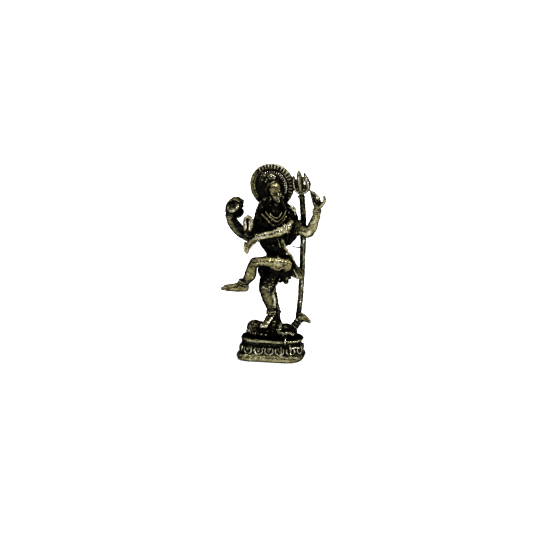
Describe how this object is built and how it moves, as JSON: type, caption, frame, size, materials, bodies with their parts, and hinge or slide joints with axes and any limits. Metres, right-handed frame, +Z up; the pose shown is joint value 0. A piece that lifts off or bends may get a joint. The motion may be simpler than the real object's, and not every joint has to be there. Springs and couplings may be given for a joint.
{
  "type": "dancing figure statuette",
  "caption": "Small cast brass statuette of a dancing figure with a halo, hand drum and trident, standing on a dwarf on a lotus base.",
  "frame": {"origin": "middle of the flat underside of the base, on the surface that the statuette stands on", "axes": "+Z up, the figure's chest faces -Y, +X is the figure's own left, where the trident stands"},
  "size_m": [0.0273, 0.0122, 0.05],
  "materials": {
    "rubbed_brass": "cast brass with the black patina rubbed off the high places, grainy",
    "blackened_brass": "cast brass left black with patina, grainy"
  },
  "bodies": {
    "root": {"base_foot": "rubbed_brass", "base_plate": "rubbed_brass", "blessing_bracelet": "rubbed_brass", "blessing_forearm": "rubbed_brass", "blessing_hand": "rubbed_brass", "blessing_upper_arm": "blackened_brass", "crossing_armlet": "rubbed_brass", "crossing_bracelet": "rubbed_brass", "crossing_forearm": "rubbed_brass", "crossing_hand": "rubbed_brass", "crossing_upper_arm": "rubbed_brass", "dress_tail": "blackened_brass", "drum_bracelet": "rubbed_brass", "drum_forearm": "rubbed_brass", "drum_hand": "rubbed_brass", "drum_upper_arm": "blackened_brass", "dwarf_arm": "rubbed_brass", "dwarf_body": "blackened_brass", "dwarf_head": "rubbed_brass", "dwarf_leg": "blackened_brass", "dwarf_neck": "blackened_brass", "earring_left": "rubbed_brass", "earring_right": "rubbed_brass", "hair_bun": "blackened_brass", "hair_left": "blackened_brass", "hair_right": "blackened_brass", "halo_disc": "blackened_brass", "halo_rays": "blackened_brass", "halo_rim": "rubbed_brass", "hand_drum": "blackened_brass", "head": "rubbed_brass", "lotus_band": "blackened_brass", "necklace_lower": "rubbed_brass", "necklace_upper": "rubbed_brass", "raised_anklet": "rubbed_brass", "raised_armlet": "rubbed_brass", "raised_bracelet": "rubbed_brass", "raised_foot": "rubbed_brass", "raised_forearm": "rubbed_brass", "raised_hand": "rubbed_brass", "raised_shin": "rubbed_brass", "raised_thigh": "rubbed_brass", "raised_thumb": "rubbed_brass", "raised_upper_arm": "rubbed_brass", "sash": "rubbed_brass", "skirt_back": "blackened_brass", "skirt_fall": "blackened_brass", "standing_anklet": "rubbed_brass", "standing_foot": "rubbed_brass", "standing_shin": "rubbed_brass", "standing_thigh": "blackened_brass", "torso": "blackened_brass", "trident_centre_prong": "rubbed_brass", "trident_collar": "rubbed_brass", "trident_left_prong": "rubbed_brass", "trident_right_prong": "rubbed_brass", "trident_staff": "blackened_brass", "waist_belt": "rubbed_brass"}
  },
  "joints": []
}
